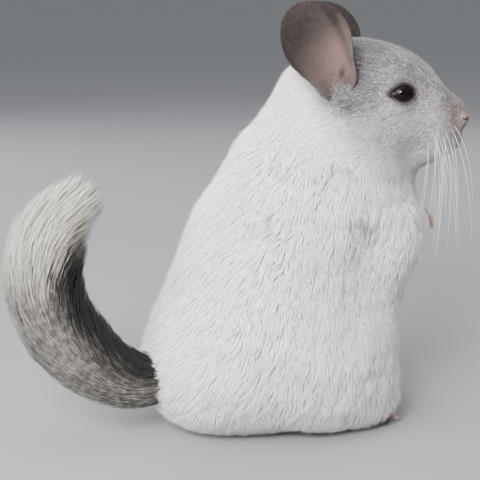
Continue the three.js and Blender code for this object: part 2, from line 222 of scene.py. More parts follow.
def node_surface(name):
    """The welded points and triangles of a CAD node, in millimetres."""
    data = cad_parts[name].data
    data.calc_loop_triangles()
    points = np.empty(len(data.vertices) * 3)
    data.vertices.foreach_get("co", points)
    triangles = np.empty(len(data.loop_triangles) * 3, np.int32)
    data.loop_triangles.foreach_get("vertices", triangles)
    points = np.round(points.reshape(-1, 3) / MM, 3)
    kept, place = np.unique(points, axis=0, return_inverse=True)
    return kept, place.reshape(-1)[triangles].reshape(-1, 3)


def point_normals(points, faces):
    """The outward way at each point of a mesh of triangles or quads."""
    a = points[faces[:, 0]]
    b = points[faces[:, 1]]
    c = points[faces[:, 2]]
    way = np.cross(b - a, c - a)
    if faces.shape[1] == 4:
        way += np.cross(c - a, points[faces[:, 3]] - a)
    total = np.zeros_like(points)
    for corner in faces.T:
        for axis in range(3):
            total[:, axis] += np.bincount(corner, way[:, axis], len(points))
    return unit(total)


def remeshed(surfaces, grow, voxel):
    """Several closed surfaces as one even mesh of quads. Growth closes the seams between them."""
    all_points = []
    all_faces = []
    count = 0
    for points, triangles in surfaces:
        all_points.append(points + point_normals(points, triangles) * grow)
        all_faces.append(triangles + count)
        count += len(points)
    rough = mesh_piece("rough", np.concatenate(all_points), np.concatenate(all_faces))
    change = rough.modifiers.new("remesh", "REMESH")
    change.mode = "VOXEL"
    change.voxel_size = voxel * MM
    shaped = rough.evaluated_get(bpy.context.evaluated_depsgraph_get())
    data = bpy.data.meshes.new_from_object(shaped)
    points = np.empty(len(data.vertices) * 3)
    data.vertices.foreach_get("co", points)
    corners = np.empty(len(data.loops), np.int32)
    data.loops.foreach_get("vertex_index", corners)
    bpy.data.objects.remove(rough)
    bpy.data.meshes.remove(data)
    return points.reshape(-1, 3) / MM, corners.reshape(-1, 4)


def relaxed(points, quads, rounds, share=0.5):
    """Points eased towards their neighbours, which rubs out the facets."""
    pairs = np.concatenate([quads[:, [k, (k + 1) % 4]] for k in range(4)])
    pairs = np.unique(np.sort(pairs, axis=1), axis=0)
    ends = np.concatenate([pairs[:, 0], pairs[:, 1]])
    others = np.concatenate([pairs[:, 1], pairs[:, 0]])
    number = np.bincount(ends, minlength=len(points))[:, None]
    for _ in range(rounds):
        total = np.stack([np.bincount(ends, points[others, k], len(points)) for k in range(3)], 1)
        points = blend(points, total / np.maximum(number, 1), share)
    return points


def swept(path, radii, sides=8, up=(0, 0, 1)):
    """A closed tapered tube along a path: points and triangles."""
    path = np.asarray(path, float)
    radii = np.asarray(radii, float)
    along = unit(np.gradient(path, axis=0))
    side = unit(np.cross(np.asarray(up, float), along))
    top = np.cross(along, side)
    angles = np.arange(sides) * 2 * math.pi / sides
    ring = side[:, None] * np.cos(angles)[None, :, None]
    ring = ring + top[:, None] * np.sin(angles)[None, :, None]
    points = path[:, None] + ring * radii[:, None, None]
    rings = len(path)
    points = np.concatenate([points.reshape(-1, 3), path[:1], path[-1:]])
    faces = []
    for s in range(sides):
        t = (s + 1) % sides
        faces.append([rings * sides, t, s])
        last = (rings - 1) * sides
        faces.append([rings * sides + 1, last + s, last + t])
        for r in range(rings - 1):
            a, b = r * sides + s, r * sides + t
            faces.append([a, b, b + sides])
            faces.append([a, b + sides, a + sides])
    return points, np.array(faces)


def gathered(parts):
    """Several meshes of points and triangles as one."""
    points = np.concatenate([p for p, _ in parts])
    starts = np.cumsum([0] + [len(p) for p, _ in parts[:-1]])
    return points, np.concatenate([f + s for (_, f), s in zip(parts, starts)])


# Node groups and materials


def new_group(name, inputs, outputs):
    """A shader node group with named sockets, and its input and output nodes."""
    group = bpy.data.node_groups.new(name, "ShaderNodeTree")
    for label, kind, default in inputs:
        socket = group.interface.new_socket(label, in_out="INPUT", socket_type=kind)
        if default is not None:
            socket.default_value = default
    for label, kind in outputs:
        group.interface.new_socket(label, in_out="OUTPUT", socket_type=kind)
    return group, group.nodes.new("NodeGroupInput"), group.nodes.new("NodeGroupOutput")


def mixed(tree, share, a, b, blend_type="MIX"):
    """A colour mix node fed by sockets or plain values."""
    node = tree.nodes.new("ShaderNodeMix")
    node.data_type = "RGBA"
    node.blend_type = blend_type
    for socket, value in ((node.inputs[0], share), (node.inputs[6], a), (node.inputs[7], b)):
        if isinstance(value, bpy.types.NodeSocket):
            tree.links.new(value, socket)
        else:
            socket.default_value = value
    return node.outputs[2]


def reckoned(tree, operation, a, b=0.0, clamp=False):
    """A maths node fed by sockets or plain values."""
    node = tree.nodes.new("ShaderNodeMath")
    node.operation = operation
    node.use_clamp = clamp
    for socket, value in ((node.inputs[0], a), (node.inputs[1], b)):
        if isinstance(value, bpy.types.NodeSocket):
            tree.links.new(value, socket)
        else:
            socket.default_value = value
    return node.outputs[0]


def noise(tree, scale, detail=2.0, roughness=0.5):
    """Noise in object space, with features of 1 / scale metres."""
    where = tree.nodes.new("ShaderNodeTexCoord")
    node = tree.nodes.new("ShaderNodeTexNoise")
    node.inputs["Scale"].default_value = scale
    node.inputs["Detail"].default_value = detail
    node.inputs["Roughness"].default_value = roughness
    tree.links.new(where.outputs["Object"], node.inputs["Vector"])
    return node.outputs["Fac"]


def coat_colours():
    """The coat's colours from its markings: pale hair, ticking, warm and dark parts, undercoat as
    painted root shade.
    """
    group, given, result = new_group(
        "coat_colours",
        [
            ("Pale", "NodeSocketColor", (0.8, 0.8, 0.8, 1)),
            ("Ticking", "NodeSocketColor", (0.4, 0.4, 0.4, 1)),
            ("Warm", "NodeSocketColor", (0.6, 0.4, 0.4, 1)),
            ("Dark", "NodeSocketColor", (0.05, 0.05, 0.05, 1)),
            ("Undercoat_and_root_shade", "NodeSocketColor", (0.3, 0.3, 0.3, 1)),
            ("Speckle", "NodeSocketFloat", 420.0),
            ("Mottle", "NodeSocketFloat", 0.5),
        ],
        [("Color", "NodeSocketColor"), ("Fluff", "NodeSocketFloat")],
    )
    marks = group.nodes.new("ShaderNodeAttribute")
    marks.attribute_name = "marks"
    parted = group.nodes.new("ShaderNodeSeparateColor")
    group.links.new(marks.outputs["Color"], parted.inputs[0])
    fine = noise(group, 420.0, 3.0, 0.6)
    group.links.new(given.outputs["Speckle"], fine.node.inputs["Scale"])
    broad = noise(group, 60.0, 2.0)
    spread = reckoned(group, "MULTIPLY_ADD", fine, 5.0)
    spread.node.inputs[2].default_value = -2.5
    spread = reckoned(group, "MULTIPLY", spread, given.outputs["Mottle"])
    spread = reckoned(group, "ADD", spread, 1.0)
    cloud = reckoned(group, "MULTIPLY_ADD", broad, 0.5)
    cloud.node.inputs[2].default_value = 0.75
    ticking = reckoned(group, "MULTIPLY", parted.outputs[0], spread, True)
    clouded = reckoned(group, "MULTIPLY", ticking, cloud, True)
    colour = mixed(group, clouded, given.outputs["Pale"], given.outputs["Ticking"])
    colour = mixed(group, parted.outputs[1], colour, given.outputs["Warm"])
    colour = mixed(group, parted.outputs[2], colour, given.outputs["Dark"])
    # Painted shade deep in the coat: each hair darkens towards its root, to the undercoat's tone.
    depth = reckoned(group, "POWER", reckoned(group, "SUBTRACT", 1.0, marks.outputs["Alpha"]), 1.6)
    shade = mixed(group, depth, (1, 1, 1, 1), given.outputs["Undercoat_and_root_shade"])
    colour = mixed(group, 1.0, colour, shade, "MULTIPLY")
    group.links.new(colour, result.inputs["Color"])
    group.links.new(fine, result.inputs["Fluff"])
    return group


COAT_COLOURS = coat_colours()


def material_of(name, roughness, sheen=0.0):
    """A bare material: its tree and its shader."""
    material = bpy.data.materials.new(name)
    material.use_nodes = True
    tree = material.node_tree
    shader = tree.nodes["Principled BSDF"]
    shader.inputs["Roughness"].default_value = roughness
    shader.inputs["Sheen Weight"].default_value = sheen
    shader.inputs["Sheen Roughness"].default_value = 0.5
    shader.inputs["Sheen Tint"].default_value = (1, 1, 1, 1)
    shader.inputs["Specular IOR Level"].default_value = 0.2
    return material, tree, shader


def bump(tree, shader, height, strength, distance):
    """Bump on a shader from a height socket, with its depth in millimetres."""
    node = tree.nodes.new("ShaderNodeBump")
    node.inputs["Strength"].default_value = strength
    node.inputs["Distance"].default_value = distance * MM
    tree.links.new(height, node.inputs["Height"])
    tree.links.new(node.outputs["Normal"], shader.inputs["Normal"])


def coat_material(name, colours, speckle, mottle, depth, sheen=0.1):
    """A fur material with its own colours in the shared coat group."""
    material, tree, shader = material_of(name, 0.85, sheen)
    node = tree.nodes.new("ShaderNodeGroup")
    node.node_tree = COAT_COLOURS
    for label, colour in colours.items():
        node.inputs[label].default_value = (*colour, 1)
    node.inputs["Speckle"].default_value = speckle
    node.inputs["Mottle"].default_value = mottle
    tree.links.new(node.outputs["Color"], shader.inputs["Base Color"])
    bump(tree, shader, node.outputs["Fluff"], 0.6, depth)
    return material


BODY_COLOURS = {
    "Pale": (0.93, 0.915, 0.895),
    "Ticking": (0.13, 0.13, 0.137),
    "Warm": (0.40, 0.27, 0.245),
    "Dark": (0.03, 0.025, 0.024),
    "Undercoat_and_root_shade": (0.88, 0.87, 0.87),
}
TAIL_COLOURS = {
    "Pale": (0.52, 0.495, 0.43),
    "Ticking": (0.096, 0.089, 0.084),
    "Warm": (0.25, 0.20, 0.16),
    "Dark": (0.0095, 0.0085, 0.008),
    "Undercoat_and_root_shade": (0.62, 0.59, 0.57),
}
EAR_COLOURS = {
    "Pale": (0.093, 0.070, 0.065),
    "Ticking": (0.017, 0.0128, 0.0112),
    "Warm": (0.152, 0.096, 0.090),
    "Dark": (0.010, 0.006, 0.006),
    "Undercoat_and_root_shade": (0.85, 0.85, 0.85),
}
PAW_COLOURS = {
    "Pale": (0.40, 0.28, 0.25),
    "Ticking": (0.20, 0.14, 0.125),
    "Warm": (0.42, 0.25, 0.22),
    "Dark": (0.06, 0.04, 0.035),
    "Undercoat_and_root_shade": (0.8, 0.8, 0.8),
}
skin_fur = coat_material("undercoat_on_skin", BODY_COLOURS, 800, 0.22, 0.8)
body_fur = coat_material("plush_fur", BODY_COLOURS, 800, 0.22, 0.1)
tail_hair = coat_material("tail_hair", TAIL_COLOURS, 300, 0.4, 0.1)
ear_skin = coat_material("ear_skin", EAR_COLOURS, 500, 0.12, 0.08, 0.15)
ear_down = coat_material("ear_down", EAR_COLOURS, 500, 0.12, 0.05, 0.15)
paw_skin = coat_material("paw_skin", PAW_COLOURS, 900, 0.4, 0.25, 0.0)


def wet_black():
    """The eye: near black and wet, with a brown iris that hardly shows."""
    material, tree, shader = material_of("wet_eye", 0.03)
    fine = noise(tree, 900.0, 3.0)
    colour = mixed(tree, fine, (0.0010, 0.0008, 0.0008, 1), (0.0045, 0.0028, 0.0022, 1))
    tree.links.new(colour, shader.inputs["Base Color"])
    shader.inputs["Specular IOR Level"].default_value = 0.2
    return material


def plain_skin(name, low, high, scale, roughness, depth):
    """Bare skin or horn: two close colours in fine mottling, with a little bump."""
    material, tree, shader = material_of(name, roughness)
    fine = noise(tree, scale, 3.0)
    tree.links.new(mixed(tree, fine, (*low, 1), (*high, 1)), shader.inputs["Base Color"])
    bump(tree, shader, fine, 0.5, depth)
    return material


eye_wet = wet_black()
# Dark lid skin, also used as painted shade in the nostrils' openings.
lid_skin_and_nostril_shade = plain_skin("lid_rim_and_nostril_shade", (0.014, 0.010, 0.010), (0.05, 0.035, 0.032), 700, 0.4, 0.15)
pink_skin = plain_skin("pink_skin", (0.20, 0.11, 0.10), (0.32, 0.20, 0.18), 800, 0.4, 0.12)
claw_horn = plain_skin("claw_horn", (0.18, 0.14, 0.12), (0.36, 0.30, 0.26), 900, 0.35, 0.05)
whisker_white = plain_skin("whisker", (0.62, 0.61, 0.59), (0.8, 0.79, 0.77), 300, 0.4, 0.01)


# The head's landmarks

SIDES = {"right": -1, "left": 1}
EYE_RADIUS = 6.1


def eye_at(side):
    """The middle of an eye in the head's frame, and the way it looks."""
    return np.array([16, side * 18.6, 4.0]), unit(np.array([0.3, side * 0.94, 0.16]))


def lip_line(count=25):
    """The line of the mouth in the head's frame, from the right corner to the left."""
    s = np.linspace(-1, 1, count)
    return np.stack([46 - 11 * s * s, 9.5 * s, -18.5 - 3 * s * s], 1)


def head_share(p):
    """1 on the head, 0 on the body."""
    return 1 - smooth(np.linalg.norm(p - HEAD_AT, axis=1), 36, 60)


def near(p, places, low, high):
    """1 within low of any of some places, 0 beyond high."""
    apart = np.min([np.linalg.norm(p - q, axis=1) for q in np.atleast_2d(places)], axis=0)
    return 1 - smooth(apart, low, high)


EYES = np.array([on_head(eye_at(side)[0]) for side in SIDES.values()])
EYE_CORNERS = on_head([[8.2, side * 21.2, 3.2] for side in SIDES.values()])
NOSTRILS = on_head([[NOSE - 0.6, side * 3.2, -7.0] for side in SIDES.values()])
LIPS = on_head(lip_line())
WRISTS = np.array([[side * 14.0, -76.0, 102.0] for side in SIDES.values()])
EAR_ROOTS = on_head([[-12, -29, 3], [-12, 24, 3]])
EAR_RISE = HEAD_AXES @ unit(np.array([-20.0, 0.0, 38.0]))
SHOULDER = [[-30, -30, 125], [-44, -25, 100], [-40, 5, 112]]


# The random field whose zero lines are the partings of the fur
PARTING_SIZE = 30
PARTING_SEED = 6


def coat_depth(p):
    """How deep the skin lies under the tips of the coat."""
    forward = in_head(p)[:, 0]
    head = head_share(p)
    depth = blend(4.2, 2.4, head)
    depth = blend(depth, 1.0, head * smooth(forward, 20, 42))
    depth = blend(depth, 0.7, near(p, EYES, 7, 12))
    depth = blend(depth, 0.5, near(p, NOSTRILS, 2, 6))
    depth = blend(depth, 1.6, near(p, WRISTS, 8, 20))
    depth = blend(depth, 3.0, 1 - smooth(p[:, 2], 4, 26))
    return depth


def parting(p):
    """1 along the broken lines where the fur opens, mostly over the shoulder."""
    line = np.exp(-((ripple(p, PARTING_SIZE, PARTING_SEED, 2) / 0.15) ** 2))
    broken = smooth(ripple(p, 26, 8, 2), -0.1, 0.5)
    return line * broken * (0.25 + 0.75 * near(p, SHOULDER, 8, 34)) * (1 - head_share(p))


def fur_marks(p, along):
    """The body's markings at each point, with the way along each hair.

    The face is grey in front of a line from the foot of the ear to the throat, greyest on the
    crown and round the ear, partly as painted shade there, and the rest is nearly white. The
    muzzle, the nostrils, the partings and the root of the ear are darkened with painted shade.
    """
    forward, left, up = in_head(p).T
    face = smooth(forward + 14 + 0.8 * (up + 5), -13, 15) * head_share(p)
    # The crown's extra grey is partly its own grey and partly painted shade on the top of the head.
    crown = smooth(up, -6, 18) * (1 - 0.6 * smooth(forward, 24, 44))
    patches = smooth(ripple(p, 13, 9), 0.3, 0.9)
    # The muzzle's extra grey is partly its own grey and partly painted shade under the nose.
    muzzle = smooth(forward, 32, 44) * smooth(up, -22, -8)
    ticking = 0.03 + 0.05 * smooth(ripple(p, 60, 5), -0.2, 0.9)
    # Along the partings the grey is painted shade in the crevices of the fur; the patches are the fur's
    # own.
    ticking = ticking + (0.08 * patches + 0.6 * parting(p)) * (1 - face)
    ticking = ticking + face * (0.66 + 0.26 * crown + 0.5 * muzzle)
    ticking = ticking + 0.26 * near(p, [on_head([-12, 0, -16])], 26, 44) * (1 - face)
    behind_eye = near(in_head(p), [[2, -27, 4], [2, 27, 4]], 3, 13)
    # The grey at the foot of the ear is partly its own grey fur and partly painted shade.
    ear_foot = near(p, EAR_ROOTS, 6, 16) * (0.5 + 0.5 * face)
    ticking = ticking + 0.12 * behind_eye + 0.45 * ear_foot
    ticking = ticking * (1 - 0.35 * smooth(-up, 16, 28) * face)
    before_eye = on_head([[23.5, side * 17.5, 3] for side in SIDES.values()])
    warm = 0.75 * near(p, NOSTRILS, 1.5, 6) + 0.25 * near(p, LIPS, 0.8, 3.0)
    warm = warm + 0.3 * near(p, before_eye, 0.8, 2.6) + 0.3 * muzzle
    # Darkness at the nostrils is painted shade in their openings; round the eyes it is the lids' own
    # dark rim.
    dark = 0.5 * near(p, NOSTRILS, 0.8, 2.4) + 0.7 * near(p, EYES, 6.3, 7.6)
    # Darkness on the muzzle is painted shade under the nose; at the eye corners it is their own dark
    # skin.
    dark = dark + 0.6 * near(p, EYE_CORNERS, 0.6, 2.6) + 0.14 * muzzle
    # Painted shade where the ear meets the head.
    dark = dark + 0.25 * near(p, EAR_ROOTS, 3, 10)
    return np.stack(
        [np.clip(ticking, 0, 1), np.clip(warm, 0, 0.85), np.clip(dark, 0, 0.9), along], 1
    )


def lay_of(p, normal):
    """The way the fur lies along the skin: back from the nose, then down the body."""
    nose = on_head([[NOSE, 0, -5]])
    head = head_share(p)[:, None]
    back = unit(p - nose) - 0.35 * HEAD_AXES[:, 2]
    body = np.zeros_like(p)
    body[:, 1] = 0.35 + 0.5 * smooth(p[:, 1], 20, 60)
    body[:, 2] = -1.0 + 0.6 * smooth(p[:, 1], 40, 64)
    way = blend(unit(body), unit(back), head)
    way = blend(way, EAR_RISE, 0.85 * near(p, EAR_ROOTS, 3, 9)[:, None])
    loose = 1 - 0.7 * head[:, 0]
    for axis in range(3):
        way[:, axis] += 0.22 * ripple(p, 34, 20 + axis)
        way[:, axis] += 0.14 * loose * ripple(p, 10, 30 + axis)
    way -= normal * np.sum(way * normal, axis=1, keepdims=True)
    return unit(way)


# Skin

FLESH = ["torso", "neck", "head"]
FLESH += [limb + "_" + side for limb in ("foreleg", "hind_leg") for side in SIDES]


def body_skin():
    """One skin for the flesh, drawn in by the depth of the coat. Returns points and quads."""
    points, quads = remeshed([node_surface(n) for n in FLESH], 0.35, SKIN_VOXEL)
    points = relaxed(points, quads, 10)
    normals = point_normals(points, quads)
    depth = coat_depth(points)
    mound = 0.55 * ripple(points, 22, 7) * (1 - head_share(points)) - 1.6 * parting(points)
    mound *= smooth(points[:, 2], 6, 20)
    points = points + normals * (mound - depth)[:, None]
    points = relaxed(points, quads, 4)
    points[:, 2] = np.maximum(points[:, 2], 0.4)
    return points, quads


def unwrapped(piece):
    """Unwraps a piece into islands of its own shape and returns the place of each corner."""
    bpy.ops.object.select_all(action="DESELECT")
    piece.select_set(True)
    bpy.context.view_layer.objects.active = piece
    bpy.ops.object.mode_set(mode="EDIT")
    bpy.ops.mesh.select_all(action="SELECT")
    bpy.ops.uv.smart_project(angle_limit=math.radians(66), island_margin=0.003)
    bpy.ops.object.mode_set(mode="OBJECT")
    places = np.empty(len(piece.data.loops) * 2, np.float32)
    piece.data.uv_layers.active.data.foreach_get("uv", places)
    return places.reshape(-1, 4, 2).astype(float)


skin_points, skin_quads = body_skin()
skin_normals = point_normals(skin_points, skin_quads)
skin = mesh_piece("skin", skin_points, skin_quads)
skin_places = unwrapped(skin)
# Along at 0.85 paints a little shade on the skin, as if deep in the coat.
give_marks(skin, fur_marks(skin_points, np.full(len(skin_points), 0.85)))
finished(skin, skin_fur, "coat", *FLESH)


# Tufts of fur


def scattered(points, quads, places, count, density, seed):
    """Roots spread evenly over a mesh of quads: their points, normals and places on the unwrap."""
    draw = np.random.default_rng(seed)
    normals = point_normals(points, quads)
    triangles = np.concatenate([quads[:, [0, 1, 2]], quads[:, [0, 2, 3]]])
    corners = np.concatenate([places[:, [0, 1, 2]], places[:, [0, 2, 3]]])
    a, b, c = (points[triangles[:, k]] for k in range(3))
    middle = (a + b + c) / 3
    area = np.linalg.norm(np.cross(b - a, c - a), axis=1) * density(middle)
    reach = np.cumsum(area)
    steps = (np.arange(count) + draw.uniform(size=count)) / count * reach[-1]
    chosen = np.searchsorted(reach, steps).clip(0, len(triangles) - 1)
    u, v = draw.uniform(size=(2, count))
    over = u + v > 1
    u, v = np.where(over, 1 - u, u), np.where(over, 1 - v, v)
    share = np.stack([1 - u - v, u, v], 1)[:, :, None]
    at = (points[triangles[chosen]] * share).sum(1)
    out = unit((normals[triangles[chosen]] * share).sum(1))
    return at, out, (corners[chosen] * share).sum(1)


def tuft_arrays(spine, normal, width, taper, flat=0.55):
    """Closed three-sided strands along spines of shape (count, rings + 1, 3), with their normals."""
    count, stops = spine.shape[:2]
    rings = stops - 1
    along = unit(np.gradient(spine, axis=1))
    up = normal[:, None] - along * np.sum(normal[:, None] * along, axis=2, keepdims=True)
    up = unit(up)
    side = np.cross(up, along)
    radius = (width[:, None] / 2 * np.asarray(taper)[None, :rings])[:, :, None, None]
    angles = np.radians([90, 210, 330])
    ring = side[:, :rings, None] * np.cos(angles)[None, None, :, None]
    ring = ring + up[:, :rings, None] * np.sin(angles)[None, None, :, None] * flat
    points = spine[:, :rings, None] + ring * radius
    points = np.concatenate([points.reshape(count, rings * 3, 3), spine[:, rings:]], axis=1)
    ways = normal[:, None, None] * 0.8 + ring * 0.45
    tip = normal[:, None] * 0.8 + along[:, rings:] * 0.3
    ways = unit(np.concatenate([ways.reshape(count, rings * 3, 3), tip], axis=1))
    faces = [[0, 2, 1]]
    for k in range(3):
        j = (k + 1) % 3
        for r in range(rings - 1):
            a, b = 3 * r + k, 3 * r + j
            faces += [[a, b, b + 3], [a, b + 3, a + 3]]
        faces.append([3 * (rings - 1) + k, 3 * (rings - 1) + j, 3 * rings])
    return points, ways, np.array(faces)


def coat_pieces(name, spine, normal, width, places, marks_of, material, slot, taper):
    """Makes tufts as joined pieces, each small enough to export, with their patches and marks."""
    stops = spine.shape[1]
    per_tuft = 1 + 3 * (2 * (stops - 2) + 1)
    batch = PIECE_TRIANGLES // per_tuft
    made = []
    for start in range(0, len(spine), batch):
        rows = slice(start, start + batch)
        points, ways, faces = tuft_arrays(spine[rows], normal[rows], width[rows], taper)
        count, each = points.shape[:2]
        along = np.append(np.repeat(np.linspace(0, 1, stops)[:-1], 3), 1.0)
        points = points.reshape(-1, 3)
        points[:, 2] = np.maximum(points[:, 2], 0.1)
        all_faces = (faces[None] + (np.arange(count) * each)[:, None, None]).reshape(-1, 3)
        piece = mesh_piece(f"{name}_{len(made) + 1}", points, all_faces)
        across = np.append(np.tile([0.0, 0.5, 1.0], stops - 1), 0.5)
        patch = np.stack([across - 0.5, along - 0.5], 1) * 0.003
        spots = (places[rows][:, None] + patch[None]).reshape(-1, 2)
        layer = piece.data.uv_layers.new(name="OFBake")
        layer.data.foreach_set("uv", spots[all_faces.ravel()].astype(np.float32).ravel())
        roots = np.repeat(spine[rows][:, 0], each, axis=0)
        give_marks(piece, marks_of(roots, np.tile(along, count), slice(start, start + count), each))
        piece.data.normals_split_custom_set_from_vertices(ways.reshape(-1, 3).tolist())
        made.append(finished(piece, material, slot))
    return made


def arched(root, normal, lay, length, height, curve, stops):
    """Spines that leave the skin, bend over and end at their height along the lay."""
    side = np.cross(normal, lay)
    start = root - normal * 0.5
    middle = root + normal * (height * 0.8)[:, None] + lay * (length * 0.3)[:, None]
    end = root + normal * height[:, None] + lay * length[:, None]
    end = end + side * (length * curve)[:, None]
    s = np.linspace(0, 1, stops)[None, :, None]
    return start[:, None] * (1 - s) ** 2 + middle[:, None] * 2 * s * (1 - s) + end[:, None] * s * s


def body_coat(count, seed=41):
    """Plush fur over the body, finest on the face."""
    draw = np.random.default_rng(seed)

    def density(p):
        return (1 + 2.6 * head_share(p)) * (1 - 0.75 * (1 - smooth(p[:, 2], 0.5, 5)))

    root, normal, places = scattered(skin_points, skin_quads, skin_places, count, density, seed)
    open_skin = near(root, EYES, 5.6, 7.0) < 0.5
    open_skin &= near(root, NOSTRILS, 1.2, 2.6) < 0.5
    open_skin &= near(root, EYE_CORNERS, 0.8, 1.8) < 0.5
    root, normal, places = root[open_skin], normal[open_skin], places[open_skin]
    count = len(root)
    depth = coat_depth(root)
    lay = lay_of(root, normal)
    inward, lock = gathering(root, normal, 9, 3)
    inward = inward - 0.6 * lay * np.sum(inward * lay, axis=1, keepdims=True)
    length = (depth * 1.6 + 1.2) * draw.uniform(0.75, 1.15, count)
    length *= blend(0.45, 1.0, smooth(root[:, 2], 1, 9))
    height = depth * draw.uniform(0.76, 1.0, count) * (1 + 0.08 * lock)
    width = (0.27 + 0.085 * depth) * draw.uniform(0.8, 1.2, count)
    ear_foot = near(root, EAR_ROOTS, 4, 10)
    length *= 1 + 0.1 * ear_foot
    height *= 1 + 0.6 * ear_foot
    stray = draw.uniform(size=count) < 0.1
    height = np.where(stray, height * 1.35, height)
    width = np.where(stray, width * 0.55, width)
    spine = arched(root, normal, lay, length, height, draw.normal(0, 0.09, count), 3)
    across, line = gathering(root, normal, PARTING_SIZE, PARTING_SEED)
    opening = across * (4 * np.clip(line / 0.08, -1, 1) * parting(root))[:, None]
    drift = inward * (length * 0.24)[:, None] + opening
    spine[:, 1:] += drift[:, None] * np.array([0.35, 1.0])[None, :, None]
    shade = draw.normal(0, 0.035, count)

    def marks(points, along, rows, each):
        given = fur_marks(points, along)
        given[:, 0] = np.clip(given[:, 0] * (1 + 4 * np.repeat(shade[rows], each)), 0, 1)
        return given

    coat_pieces("fur", spine, normal, width, places, marks, body_fur, "coat", [0.8, 1.0])


body_coat(BODY_TUFTS)


# Eyes and lids


def eye_piece(name, side):
    """A wet eyeball that stands a little proud of its lids."""
    middle, _ = eye_at(side)
    rings, around = 24, 40
    polar = np.linspace(0, math.pi, rings)[:, None]
    turn = np.arange(around)[None] * 2 * math.pi / around
    ball = np.stack(
        [np.sin(polar) * np.cos(turn), np.sin(polar) * np.sin(turn), np.cos(polar) + 0 * turn], 2
    )
    points = ball.reshape(-1, 3) * [EYE_RADIUS, EYE_RADIUS, EYE_RADIUS * 0.94] + middle
    faces = []
    for r in range(rings - 1):
        for s in range(around):
            t = (s + 1) % around
            a, b = r * around + s, r * around + t
            faces.append([a, a + around, b + around, b])
    piece = mesh_piece("eyeball_" + name, on_head(points), np.array(faces))
    finished(piece, eye_wet, "eye_black", "eye_" + name)


def laid_on_skin(path, rise):
    """Points moved out or in to stand a little above the skin nearest to them."""
    nearest = np.array([np.argmin(np.sum((skin_points - q) ** 2, axis=1)) for q in path])
    out = skin_normals[nearest]
    gap = np.sum((skin_points[nearest] - path) * out, axis=1, keepdims=True)
    return path + out * (gap + rise)


def lid_pieces(name, side):
    """Dark lid margins drawn out to a long corner behind, with a pink corner in front."""
    middle, look = eye_at(side)
    forward = unit(np.array([1.0, side * -0.32, 0.0]))
    forward = unit(forward - look * (forward @ look))
    up = np.cross(look, forward) * (-side)
    look_out = HEAD_AXES @ look

    def rim(angles, outward):
        front = np.maximum(np.cos(angles), 0) ** 6
        back = np.maximum(-np.cos(angles), 0) ** 6
        wide = 4.9 + 0.9 * front + 2.2 * back + outward
        away = 4.1 - 0.9 * front - 1.8 * back - 0.6 * outward
        rise = (4.45 + outward) * np.sin(angles) - 0.9 * back
        path = middle + look * away[:, None] + forward * (wide * np.cos(angles))[:, None]
        path = on_head(path + up * rise[:, None])
        return blend(path, laid_on_skin(path, 0.25), (0.9 * back + 0.6 * front)[:, None])

    around = np.linspace(0, 2 * math.pi, 49)
    heavy = 0.62 + 0.2 * np.sin(around) + 0.45 * np.maximum(-np.cos(around), 0) ** 4
    lid = swept(rim(around, 0.0), heavy, 8, look_out)
    finished(mesh_piece("lid_margin_" + name, *lid), lid_skin_and_nostril_shade, "face_coat")
    points, faces = swept(rim(around, 0.9), np.full(49, 0.65), 8, look_out)
    fold = mesh_piece("lid_fold_" + name, points, faces)
    give_marks(fold, np.tile([0.8, 0.1, 0.75, 0.9], (len(points), 1)))
    finished(fold, skin_fur, "face_coat")
    ahead = np.linspace(-0.55, 0.5, 13)
    pink = swept(rim(ahead, 0.75), 0.62 * np.cos(ahead * 2.6) ** 0.5, 8, look_out)
    finished(mesh_piece("lid_corner_" + name, *pink), pink_skin, "face_coat")
    s = np.linspace(0, 1, 9)[:, None]
    rear = middle + look * (3.7 - 1.3 * s) - forward * (3.9 + 3.4 * s) - up * (0.5 + 0.4 * s)
    tear = swept(on_head(rear), 1.25 * (1 - 0.8 * s[:, 0] ** 2), 8, look_out)
    finished(mesh_piece("lid_rear_" + name, *tear), lid_skin_and_nostril_shade, "face_coat")


for name, side in SIDES.items():
    eye_piece(name, side)
    lid_pieces(name, side)


# Ears

EAR_LENGTH = 49
EAR_WIDTH = 38.5
EARS = {
    "right": ([-12, -30, 0.5], [-22, -8, 40], [0.35, -0.9, 0.1]),
    "left": ([-12, 24, 0.5], [-19, 16, 36], [0.5, 0.85, 0.1]),
}


def ear_shell(rings=40, around=72, thick=1.2):
    """A cupped ear in its own frame: x to the front rim, y up the ear, z out of the cup.

    Returns points, quads, outward ways up the ear, and each point's way up, across and in or out.
    """
    polar = np.linspace(0.0005, math.pi - 0.0005, rings)[:, None]
    turn = np.arange(around)[None] * 2 * math.pi / around
    u = (np.sin(polar) * np.cos(turn)).ravel()
    v = (np.sin(polar) * np.sin(turn)).ravel()
    w = (np.cos(polar) + 0 * turn).ravel()
    half = EAR_WIDTH / 2 * blend(0.86, 1.06, smooth(v, -1, 0.25))
    curl = np.radians(blend(100, 44, smooth(v, -1, 0.4)))
    roll = np.radians(blend(150, 60, smooth(v, -0.6, 0.9)))
    x = np.zeros_like(u)
    z = np.zeros_like(u)
    steps = 16
    for i in range(steps):
        a = u * (i + 0.5) / steps
        bend = curl * a + roll * np.maximum(a - 0.55, 0)
        x += np.cos(bend) * half * u / steps
        z += np.sin(bend) * half * u / steps
    up = (v + 1) / 2
    rim = smooth(np.hypot(u, v), 0.9, 1.0)
    offset = w * thick / 2
    points = np.stack([x - np.sin(bend) * offset, up * EAR_LENGTH, z + np.cos(bend) * offset], 1)
    points[:, 2] -= 5 * up * up
    points[:, 2] += 0.35 * ripple(points, 22, 61) * (1 - rim)
    quads = []
    for r in range(rings - 1):
        for s in range(around):
            t = (s + 1) % around
            a, b = r * around + s, r * around + t
            quads.append([a, a + around, b + around, b])
    return points, np.array(quads), np.stack([up, u, w], 1)


CANAL = (4.8, 10.6)


